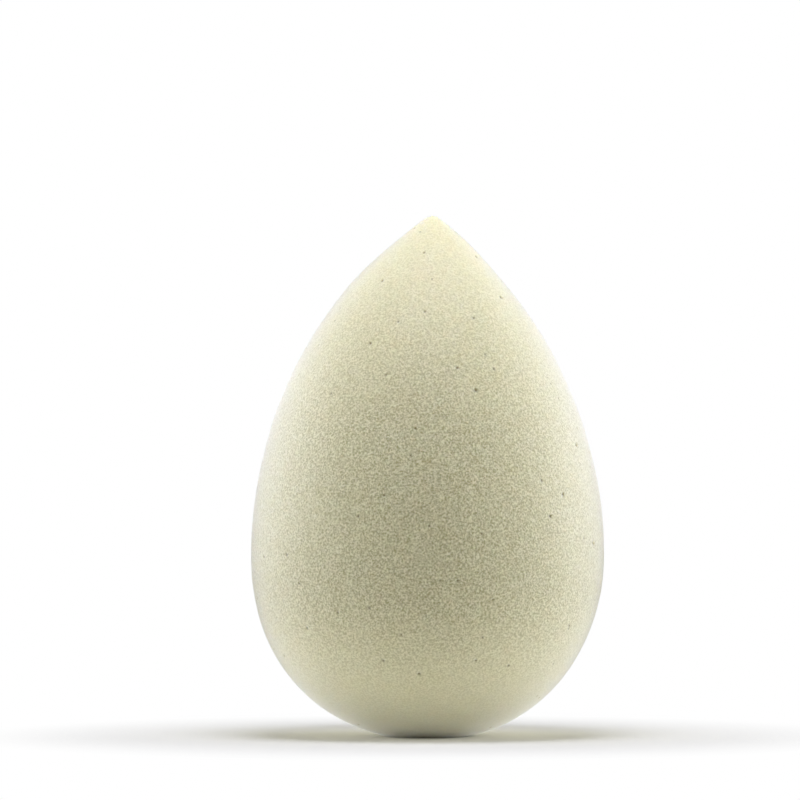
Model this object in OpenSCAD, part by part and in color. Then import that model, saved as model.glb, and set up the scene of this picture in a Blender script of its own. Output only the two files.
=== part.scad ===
// Teardrop makeup sponge.
//
// One block of soft open-cell foam, ground to shape all over, with no core,
// cover, seam or cord. The fine tip reaches beside the nose and under the eyes,
// the flank spreads cream, and the round base blends cheeks and forehead. It
// stands tip up, on the small flat that its own weight presses into the base.
//
// Millimetres, +Z up, origin at the middle of the flat.

/* [Body] */
// Diameter at the belly, the widest level
belly_d = 40; // [26:0.5:50]
// Height of the belly above the flat
belly_h = 20.5; // [14:0.25:26]
// Height of the whole sponge, from the flat to the tip
sponge_h = 59; // [52:0.5:80]

/* [Tip] */
// Radius of the round that ends the tip
tip_r = 1.2; // [0.4:0.1:4]

/* [Base] */
// Depth that the flat takes off the round of the base
flat_depth = 0.5; // [0.2:0.1:1.2]
// How full the base is, as a share: 0.71 is half an ellipse, 1 would be square
haunch_share = 0.72; // [0.71:0.005:0.78]

/* [Hidden] */

foam_colour = [0.80, 0.78, 0.66];

// Straight steps along each stretch of the outline, and round the body
base_steps = 36;
flank_steps = 40;
tip_steps = 8;
turn_steps = 96;

belly_r = belly_d / 2;

// The flank is one arc. It leaves the belly upright, and runs without a corner
// into the round of the tip, which is centred on the axis.
tip_z = sponge_h - tip_r;
flank_rise = tip_z - belly_h;
flank_r = (pow(belly_r, 2) + pow(flank_rise, 2) - pow(tip_r, 2)) / (2 * (belly_r - tip_r));
flank_turn = atan2(flank_rise, flank_r - belly_r);

// The base is a quarter of a superellipse that leaves the belly upright. At its
// haunch it reaches haunch_share of its width and of its depth, which sets its
// power. The flat cuts it off at height zero.
base_depth = belly_h + flat_depth;
base_power = ln(1 / 2) / ln(haunch_share);
flat_turn = asin(pow(belly_h / base_depth, base_power / 2));

// A point of the base, with turn 0 at the belly and 90 at its lowest point
function base_point(turn) = [
    belly_r * pow(cos(turn), 2 / base_power),
    belly_h - base_depth * pow(sin(turn), 2 / base_power)
];

// A point of an arc, with turn 0 straight out and 90 straight up
function arc_point(centre, radius, turn) = centre + radius * [cos(turn), sin(turn)];

function base_outline() = [
    for (i = [base_steps : -1 : 1]) base_point(flat_turn * i / base_steps)
];

function flank_outline() = [
    for (i = [0 : flank_steps - 1])
        arc_point([belly_r - flank_r, belly_h], flank_r, flank_turn * i / flank_steps)
];

function tip_outline() = [
    for (i = [0 : tip_steps])
        arc_point([0, tip_z], tip_r, flank_turn + (90 - flank_turn) * i / tip_steps)
];

// Half of the outline, from the middle of the flat, round the base, to the tip
module half_outline() {
    polygon(concat([[0, 0]], base_outline(), flank_outline(), tip_outline()));
}

module sponge_body() {
    color(foam_colour)
        rotate_extrude($fn = turn_steps)
            half_outline();
}

sponge_body();
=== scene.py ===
# Dresses the teardrop makeup sponge: its ground foam body, a pale floor, soft studio light
# and the camera. Lengths are in metres unless a name ends in _MM or _PX.
import math
import random

import bmesh
import bpy
import numpy as np
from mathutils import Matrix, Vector, kdtree, noise


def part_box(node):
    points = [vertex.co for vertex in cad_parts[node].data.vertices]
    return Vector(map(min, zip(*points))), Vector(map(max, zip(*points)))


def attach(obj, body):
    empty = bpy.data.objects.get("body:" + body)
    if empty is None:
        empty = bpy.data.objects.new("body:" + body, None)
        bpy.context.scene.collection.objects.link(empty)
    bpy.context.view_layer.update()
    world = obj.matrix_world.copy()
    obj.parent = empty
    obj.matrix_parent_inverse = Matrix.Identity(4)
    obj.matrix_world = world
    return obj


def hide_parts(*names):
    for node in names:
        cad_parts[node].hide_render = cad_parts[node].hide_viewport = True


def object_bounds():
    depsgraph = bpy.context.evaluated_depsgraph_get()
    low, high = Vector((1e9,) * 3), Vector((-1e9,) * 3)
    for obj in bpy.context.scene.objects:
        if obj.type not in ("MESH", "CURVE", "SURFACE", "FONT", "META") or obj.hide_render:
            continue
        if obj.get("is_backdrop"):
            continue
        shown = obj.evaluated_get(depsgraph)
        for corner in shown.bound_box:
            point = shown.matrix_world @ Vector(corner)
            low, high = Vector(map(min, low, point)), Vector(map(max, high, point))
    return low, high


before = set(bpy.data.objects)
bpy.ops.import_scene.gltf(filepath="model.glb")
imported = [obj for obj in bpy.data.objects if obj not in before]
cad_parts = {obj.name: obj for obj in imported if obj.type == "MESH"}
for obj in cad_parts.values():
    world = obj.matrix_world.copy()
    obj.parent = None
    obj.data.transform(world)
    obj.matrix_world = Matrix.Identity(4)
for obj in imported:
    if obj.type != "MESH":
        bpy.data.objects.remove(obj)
cad_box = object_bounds()

# One millimetre, in metres
MM = 0.001

# The CAD body, its material slot and its sizes
NODE = "sponge_body"
FLAT_LEVEL, TIP_LEVEL = (corner.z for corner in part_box(NODE))
MIDDLE_LEVEL = TIP_LEVEL / 2
BELLY_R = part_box(NODE)[1].x

# Where the photograph shows the sponge, in pixels of its 800 by 800 frame
PHOTO_SIDE_PX = 800
LEFT_PX, RIGHT_PX, BOTTOM_PX = 250.3, 604.6, 735.7
MIDDLE_PX = (LEFT_PX + RIGHT_PX) / 2

# The length that one pixel covers at the sponge. The fit was set by comparing the rendered edge
# with the photographed one.
EDGE_FIT = 1.005
PIXEL = EDGE_FIT * 2 * BELLY_R / (RIGHT_PX - LEFT_PX)

# The camera stands straight in front of the sponge's middle, and its lens shifts to frame it
CAMERA_DISTANCE = 0.60
CAMERA_LEVEL = MIDDLE_LEVEL
SENSOR_MM = 36

# The curve through the CAD outline: how many samples it has, how many decimals tell two levels
# apart, and the least distance between two knots
OUTLINE_SAMPLES = 3000
LEVEL_DECIMALS = 6
OUTLINE_GAP = 0.05 * MM

# Squares along each edge of the cube that is blown up into the body
CELLS_PER_EDGE = 112

# Keeps a division off zero on the axis
TINY = 1e-9

# The tip leans a little to the right, and the base a little to the left. Each lean fades out over
# its length.
TIP_LEAN, TIP_LEAN_LENGTH = 0.55 * MM, 8.5 * MM
BASE_LEAN, BASE_LEAN_LENGTH = -0.12 * MM, 20 * MM

# The unevenness left by grinding, then the relief of the foam's cells: wavelength and height of
# each wave. All of them grow from nothing at the flat to their full height over the fade.
UNEVENNESS = ((17 * MM, 0.10 * MM), (4.2 * MM, 0.030 * MM))
RELIEF = ((1.6 * MM, 0.012 * MM), (0.62 * MM, 0.010 * MM))
FLAT_FADE = 0.30 * MM

# Open pores where the photograph shows them: their places by size, across and down in its pixels
PORES_PX = {
    "fine": ((420, 231), (432, 279), (411, 455), (440, 580), (493, 599), (401, 635)),
    "small": (
        (424, 252), (398, 321), (485, 354), (386, 375), (331, 394), (384, 495),
        (429, 526), (482, 534), (299, 583), (338, 613), (483, 638),
    ),
    "middling": (
        (425, 311), (415, 428), (358, 516), (458, 581), (369, 608),
        (570, 626), (307, 628), (383, 661), (476, 661), (509, 666),
    ),
    "large": (
        (382, 280), (474, 318), (370, 343), (457, 368), (494, 369),
        (542, 480), (563, 494), (550, 516), (286, 555), (419, 675),
    ),
    "widest": ((476, 258), (501, 297), (476, 390), (577, 445), (593, 543)),
}
PORE_R = {
    "fine": 0.12 * MM,
    "small": 0.14 * MM,
    "middling": 0.165 * MM,
    "large": 0.19 * MM,
    "widest": 0.24 * MM,
}

# Rounds of closing in on the place where a line of sight meets the body
SIGHT_STEPS = 4

# More pores on the sides and the back: how many, between which radii, the seed of the draw, and
# half the angle of the sector facing the camera, which they keep out of
SCATTERED_PORES = 150
SCATTERED_PORE_R = (0.09 * MM, 0.16 * MM)
PORE_SEED = 11
SHOWN_SECTOR = math.radians(55)

# The squares are split up to this far beyond a pore's radius, by this many cuts along each edge
PORE_MARGIN = 0.25 * MM
PORE_CUTS = 2

# How far a pore's slope reaches, and how deep the pore is, both in radii
PORE_REACH = 1.5
PORE_DEPTH = 0.8

# The mesh layer that holds how deep each corner lies in a pore, from 0 to 1, which darkens the
# colour as painted shade
PORE_LAYER = "pore"

# Places of the sockets of a colour mix
MIX_SHARE, MIX_LOW, MIX_HIGH, MIX_COLOUR = 0, 6, 7, 2

# Foam colours, as linear shares of red, green and blue: the plain colour where the grain fades,
# lighter than the grain's average as painted light on the tip and the base, the ground cell walls,
# the hollows between them, and the open pores, whose dark is painted shade in the pits
PAINTED_LIGHT_FOAM_COLOUR = (0.800, 0.765, 0.490, 1)
WALL_COLOUR = (0.985, 0.950, 0.690, 1)
HOLLOW_COLOUR = (0.505, 0.470, 0.208, 1)
# The pores' colour is painted shade, darkest at the bottom of each pit
PORE_SHADE_COLOUR = (0.190, 0.155, 0.015, 1)

# The grain: a noise, its scale in cells per millimetre, then the two of its values that give a
# hollow and a wall, and the height of its bumps
GRAIN_NOISE = {"Scale": 4.6, "Detail": 2.0, "Roughness": 0.6}
GRAIN_RANGE = (0.35, 0.65)
BUMP_HEIGHT = 0.20 * MM

# The grain fades towards the base and the tip, and there the foam turns to its lighter plain colour,
# which paints light on them: the level where it is weakest, the level where it is whole, and the
# share of it that is left at the first
BASE_FADE = (FLAT_LEVEL + 1.5 * MM, FLAT_LEVEL + 15 * MM, 0.15)
TIP_FADE = (TIP_LEVEL - 1 * MM, TIP_LEVEL - 25 * MM, 0.35)

# How the foam takes light: matt, with a dull bloom over it, and light that spreads inside it
FOAM_FINISH = {
    "Roughness": 0.7,
    "Coat Weight": 1.0,
    "Coat Roughness": 0.6,
    "Sheen Weight": 1.0,
    "Sheen Roughness": 0.5,
    "Subsurface Weight": 1.0,
    "Subsurface Radius": (1.0, 0.8, 0.5),
    "Subsurface Scale": 4.0 * MM,
}

# Colours of light
WHITE = (1.0, 1.0, 1.0)
COOL_WHITE = (1.0, 1.0, 1.06)

# Round lamps aimed at the sponge's middle. Azimuth is in degrees from the camera's side, positive
# to the right. Then come elevation in degrees, distance and width in metres, watts and colour.
# The watts were set by comparing renders with the photograph.
LAMPS = {
    "left_back": (-122, 8, 0.40, 0.20, 0.47, WHITE),
    "left": (-92, 8, 0.40, 0.20, 0.47, WHITE),
    "right_back": (122, 8, 0.40, 0.20, 0.43, WHITE),
    "right": (92, 8, 0.40, 0.20, 0.64, WHITE),
    "top": (0, 74, 0.14, 0.08, 0.124, COOL_WHITE),
    "top_back": (180, 60, 0.20, 0.10, 0.04, COOL_WHITE),
}

# Strength of the even light that comes from all round
SOFT_LIGHT = 0.16

# The floor is a round disc. The camera sees it as it is lit up to the first of two distances from
# the sponge's axis, and plain white beyond the second.
FLOOR_R = 0.60
FLOOR_SIDES = 96
FLOOR_COLOUR = (0.93, 0.93, 0.92, 1)
FLOOR_FADE = (22 * MM, 55 * MM)


def smooth_step(share):
    share = np.clip(share, 0, 1)
    return share * share * (3 - 2 * share)


def cad_outline(node):
    """Half the outline of the CAD body, from the middle of the flat to the tip.

    Each of its knots has a distance along the outline, a radius and a level.
    """
    widest = {}
    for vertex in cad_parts[node].data.vertices:
        level = round(vertex.co.z, LEVEL_DECIMALS)
        widest[level] = max(widest.get(level, 0), vertex.co.xy.length)
    points = [(0.0, FLAT_LEVEL)]
    for level in sorted(widest):
        point = (widest[level], level)
        if math.dist(point, points[-1]) > OUTLINE_GAP:
            points.append(point)
    points[-1] = (0.0, TIP_LEVEL)
    radii, levels = np.array(points).T
    along = np.concatenate([[0], np.cumsum(np.hypot(np.diff(radii), np.diff(levels)))])
    return along, radii, levels


def curve_through(knots, values, places):
    """The smooth curve through the values at the knots, read at the places."""
    slopes = np.gradient(values, knots)
    left = np.clip(np.searchsorted(knots, places, side="right") - 1, 0, len(knots) - 2)
    width = knots[left + 1] - knots[left]
    share = (places - knots[left]) / width
    return (
        values[left] * (1 + 2 * share) * (1 - share) ** 2
        + values[left + 1] * (3 - 2 * share) * share**2
        + slopes[left] * width * share * (1 - share) ** 2
        - slopes[left + 1] * width * (1 - share) * share**2
    )


class Outline:
    """The body's outline as fine samples, read by the share of the surface that lies below."""

    def __init__(self, node):
        along, radii, levels = cad_outline(node)
        samples = np.linspace(0, along[-1], OUTLINE_SAMPLES)
        self.radii = np.clip(curve_through(along, radii, samples), 0, None)
        self.levels = np.clip(curve_through(along, levels, samples), FLAT_LEVEL, TIP_LEVEL)
        rings = (self.radii[1:] + self.radii[:-1]) / 2 * np.diff(samples)
        below = np.concatenate([[0], np.cumsum(rings)])
        self.shares = below / below[-1]
        out, up = np.gradient(self.radii, samples), np.gradient(self.levels, samples)
        length = np.hypot(out, up)
        self.out_normals, self.up_normals = up / length, -out / length

    def at_share(self, shares):
        """The radii and levels at these shares, and the outward and upward parts of the normals."""
        return tuple(
            np.interp(shares, self.shares, values)
            for values in (self.radii, self.levels, self.out_normals, self.up_normals)
        )

    def radius_at(self, level):
        sample = np.searchsorted(self.levels, level)
        return float(self.radii[sample])


def lean(levels):
    """How far the body's middle lies to the right at each level."""
    to_tip = smooth_step(1 - (TIP_LEVEL - levels) / TIP_LEAN_LENGTH)
    to_base = smooth_step(1 - (levels - FLAT_LEVEL) / BASE_LEAN_LENGTH)
    return TIP_LEAN * to_tip + BASE_LEAN * to_base


def blown_up_cube():
    """A cube of even squares whose corners lie on the unit ball."""
    grid = bmesh.new()
    bmesh.ops.create_cube(grid, size=2)
    bmesh.ops.subdivide_edges(
        grid, edges=grid.edges, cuts=CELLS_PER_EDGE - 1, use_grid_fill=True
    )
    # The cube runs from -1 to 1. Its rows are spread so that they turn by even angles.
    for vertex in grid.verts:
        spread = [math.tan(place * math.pi / 4) for place in vertex.co]
        vertex.co = Vector(spread).normalized()
    return grid


def wave_sum(place, waves):
    return sum(height * noise.noise(place / wavelength) for wavelength, height in waves)


def shape_body(grid, outline):
    """Lays the ball's corners on the outline, and adds the lean, the unevenness and the relief."""
    ball = np.array([vertex.co for vertex in grid.verts])
    # The share of a ball's surface below a level grows evenly with the level
    radii, levels, out_normals, up_normals = outline.at_share((1 + ball[:, 2]) / 2)
    from_axis = np.hypot(ball[:, 0], ball[:, 1])
    round_axis = ball[:, :2] / np.maximum(from_axis, TINY)[:, None]
    places = np.column_stack([round_axis * radii[:, None], levels])
    normals = np.column_stack([round_axis * out_normals[:, None], up_normals])
    clear_of_flat = smooth_step((levels - FLAT_LEVEL) / FLAT_FADE)
    offsets = lean(levels)
    for vertex, place, normal, share, offset in zip(
        grid.verts, places, normals, clear_of_flat, offsets
    ):
        place = Vector(place)
        height = wave_sum(place, UNEVENNESS) + wave_sum(place, RELIEF)
        vertex.co = place + Vector(normal) * height * share + Vector((offset, 0, 0))
        vertex.co.z = max(vertex.co.z, FLAT_LEVEL)


def seen_place(outline, across_px, down_px):
    """Where the line of sight through a pixel of the photograph meets the body."""
    across = (across_px - MIDDLE_PX) * PIXEL
    above_camera = (BOTTOM_PX - down_px) * PIXEL - CAMERA_LEVEL
    place = Vector((across, 0, CAMERA_LEVEL + above_camera))
    for _ in range(SIGHT_STEPS):
        # A pixel covers less where the body comes nearer to the camera than its axis
        shrink = 1 + place.y / CAMERA_DISTANCE
        place.x, place.z = across * shrink, CAMERA_LEVEL + above_camera * shrink
        radius = max(outline.radius_at(place.z), abs(place.x))
        place.y = -math.sqrt(radius**2 - place.x**2)
    return place


def shown_pores(outline):
    """The pores that the photograph shows, laid on the side that faces the camera."""
    for size, places in PORES_PX.items():
        for across_px, down_px in places:
            yield seen_place(outline, across_px, down_px), PORE_R[size]


def scattered_pores(outline, draw):
    """More pores, spread evenly over the sides and the back."""
    for _ in range(SCATTERED_PORES):
        radius, level, _, _ = outline.at_share(draw.random())
        turn = draw.uniform(SHOWN_SECTOR, 2 * math.pi - SHOWN_SECTOR)
        place = Vector((radius * math.sin(turn), -radius * math.cos(turn), level))
        yield place, draw.uniform(*SCATTERED_PORE_R)


def tree_of(places):
    """A tree that finds the places near another one."""
    tree = kdtree.KDTree(len(places))
    for index, place in enumerate(places):
        tree.insert(place, index)
    tree.balance()
    return tree


def split_near(grid, pores):
    """Splits the squares round each pore finely."""
    grid.faces.ensure_lookup_table()
    tree = tree_of([face.calc_center_median() for face in grid.faces])
    near = {
        grid.faces[index]
        for place, radius in pores
        for _, index, _ in tree.find_range(place, radius + PORE_MARGIN)
    }
    edges = {edge for face in near for edge in face.edges}
    bmesh.ops.subdivide_edges(
        grid, edges=list(edges), cuts=PORE_CUTS, use_grid_fill=True
    )


def sink_pores(grid, pores):
    """Sinks each pore, and notes how deep each corner lies in one, for the painted shade in the
    pits.
    """
    grid.normal_update()
    grid.verts.ensure_lookup_table()
    tree = tree_of([vertex.co for vertex in grid.verts])
    depth_layer = grid.verts.layers.float.new(PORE_LAYER)
    for place, radius in pores:
        middle, nearest, _ = tree.find(place)
        inwards = -grid.verts[nearest].normal
        reach = radius * PORE_REACH
        for _, index, distance in tree.find_range(middle, reach):
            share = float(smooth_step(1 - distance / reach))
            vertex = grid.verts[index]
            vertex.co += inwards * share * radius * PORE_DEPTH
            vertex[depth_layer] = max(vertex[depth_layer], share)


def add_object(name, data):
    thing = bpy.data.objects.new(name, data)
    bpy.context.scene.collection.objects.link(thing)
    return thing


def make_body():
    outline = Outline(NODE)
    draw = random.Random(PORE_SEED)
    pores = [*shown_pores(outline), *scattered_pores(outline, draw)]
    grid = blown_up_cube()
    shape_body(grid, outline)
    split_near(grid, pores)
    sink_pores(grid, pores)
    bmesh.ops.recalc_face_normals(grid, faces=grid.faces)
    mesh = bpy.data.meshes.new("foam_body")
    grid.to_mesh(mesh)
    grid.free()
    mesh.shade_smooth()
    mesh.materials.append(foam_material())
    return add_object("foam_body", mesh)


class Nodes:
    """The nodes of a material or world, each joined to what it reads as it is added."""

    def __init__(self, owner):
        owner.use_nodes = True
        self.tree = owner.node_tree
        self.tree.nodes.clear()

    def add(self, kind, inputs, **settings):
        """Adds a node, joins or sets its inputs by name or place, and returns its outputs."""
        node = self.tree.nodes.new(kind)
        for name, value in settings.items():
            setattr(node, name, value)
        for socket, value in inputs.items():
            if isinstance(value, bpy.types.NodeSocket):
                self.tree.links.new(value, node.inputs[socket])
            else:
                node.inputs[socket].default_value = value
        return node.outputs

    def ramp(self, value, start, end, low=0.0, **settings):
        """A value that runs from low at the start to 1 at the end, and stays level outside."""
        sockets = {"Value": value, "From Min": start, "From Max": end, "To Min": low}
        return self.add("ShaderNodeMapRange", sockets, **settings)["Result"]

    def product(self, first, second):
        return self.add("ShaderNodeMath", {0: first, 1: second}, operation="MULTIPLY")["Value"]

    def blend(self, share, low, high):
        """A colour between two others."""
        sockets = {MIX_SHARE: share, MIX_LOW: low, MIX_HIGH: high}
        return self.add("ShaderNodeMix", sockets, data_type="RGBA")[MIX_COLOUR]


def foam_material():
    material = bpy.data.materials.new("ground_foam")
    nodes = Nodes(material)
    here = nodes.add("ShaderNodeTexCoord", {})["Object"]
    in_millimetres = nodes.add(
        "ShaderNodeVectorMath", {"Vector": here, "Scale": 1 / MM}, operation="SCALE"
    )["Vector"]
    grain = nodes.add("ShaderNodeTexNoise", {"Vector": in_millimetres, **GRAIN_NOISE})["Fac"]
    tone = nodes.ramp(grain, *GRAIN_RANGE)
    level = nodes.add("ShaderNodeSeparateXYZ", {"Vector": here})["Z"]
    above_base, below_tip = (nodes.ramp(level, *fade) for fade in (BASE_FADE, TIP_FADE))
    shown = nodes.product(above_base, below_tip)
    # Where the grain fades, the foam turns to the lighter plain colour: painted light on the tip and
    # base
    foam = nodes.blend(shown, PAINTED_LIGHT_FOAM_COLOUR, nodes.blend(tone, HOLLOW_COLOUR, WALL_COLOUR))
    pore = nodes.add("ShaderNodeAttribute", {}, attribute_name=PORE_LAYER)["Fac"]
    # The deeper a corner lies in a pore, the darker its colour: painted shade in the pits
    colour = nodes.blend(pore, foam, PORE_SHADE_COLOUR)
    bump = nodes.add(
        "ShaderNodeBump", {"Strength": shown, "Distance": BUMP_HEIGHT, "Height": grain}
    )["Normal"]
    surface = nodes.add(
        "ShaderNodeBsdfPrincipled", {"Base Color": colour, "Normal": bump, **FOAM_FINISH}
    )["BSDF"]
    nodes.add("ShaderNodeOutputMaterial", {"Surface": surface})
    return material


def floor_material():
    """Matt, with a white glow further out that only the camera sees."""
    material = bpy.data.materials.new("floor")
    nodes = Nodes(material)
    camera_ray = nodes.add("ShaderNodeLightPath", {})["Is Camera Ray"]
    place = nodes.add("ShaderNodeNewGeometry", {})["Position"]
    distance = nodes.add("ShaderNodeVectorMath", {"Vector": place}, operation="LENGTH")["Value"]
    far = nodes.ramp(distance, *FLOOR_FADE, interpolation_type="SMOOTHSTEP")
    glow_share = nodes.product(far, camera_ray)
    matt = nodes.add("ShaderNodeBsdfDiffuse", {"Color": FLOOR_COLOUR})["BSDF"]
    glow = nodes.add("ShaderNodeEmission", {"Color": (*WHITE, 1), "Strength": 1.0})["Emission"]
    surface = nodes.add("ShaderNodeMixShader", {0: glow_share, 1: matt, 2: glow})["Shader"]
    nodes.add("ShaderNodeOutputMaterial", {"Surface": surface})
    return material


def add_floor():
    bpy.ops.mesh.primitive_circle_add(
        vertices=FLOOR_SIDES, radius=FLOOR_R, fill_type="NGON", location=(0, 0, FLAT_LEVEL)
    )
    floor = bpy.context.object
    floor.name = "floor"
    floor.data.materials.append(floor_material())
    floor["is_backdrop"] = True


def add_world():
    """White where the camera sees it, and otherwise a soft light from all round."""
    world = bpy.data.worlds.new("studio")
    bpy.context.scene.world = world
    nodes = Nodes(world)
    camera_ray = nodes.add("ShaderNodeLightPath", {})["Is Camera Ray"]
    strength = nodes.ramp(camera_ray, 0.0, 1.0, low=SOFT_LIGHT)
    light = nodes.add(
        "ShaderNodeBackground", {"Color": (*WHITE, 1), "Strength": strength}
    )["Background"]
    nodes.add("ShaderNodeOutputWorld", {"Surface": light})


def add_lamp(name, azimuth, elevation, distance, width, watts, colour):
    data = bpy.data.lights.new(name, "AREA")
    data.shape = "DISK"
    data.size = width
    data.energy = watts
    data.color = colour
    lamp = add_object(name, data)
    turn, rise = math.radians(azimuth), math.radians(elevation)
    out = Vector((math.sin(turn) * math.cos(rise), -math.cos(turn) * math.cos(rise), math.sin(rise)))
    lamp.location = Vector((0, 0, MIDDLE_LEVEL)) + distance * out
    lamp.rotation_euler = out.to_track_quat("Z", "Y").to_euler()


def add_camera():
    data = bpy.data.cameras.new("camera")
    data.sensor_width = SENSOR_MM
    data.lens = SENSOR_MM * CAMERA_DISTANCE / (PHOTO_SIDE_PX * PIXEL)
    data.shift_x = 1 / 2 - MIDDLE_PX / PHOTO_SIDE_PX
    data.shift_y = (BOTTOM_PX - CAMERA_LEVEL / PIXEL) / PHOTO_SIDE_PX - 1 / 2
    camera = add_object("camera", data)
    camera.location = (0, -CAMERA_DISTANCE, CAMERA_LEVEL)
    camera.rotation_euler = (math.pi / 2, 0, 0)
    bpy.context.scene.camera = camera


body = make_body()
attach(body, "root")
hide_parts(NODE)

add_floor()
add_world()
for lamp_name, setting in LAMPS.items():
    add_lamp(lamp_name, *setting)
add_camera()
bpy.context.scene.view_settings.view_transform = "Standard"

[[list(c) for c in box] for box in (cad_box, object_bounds())]
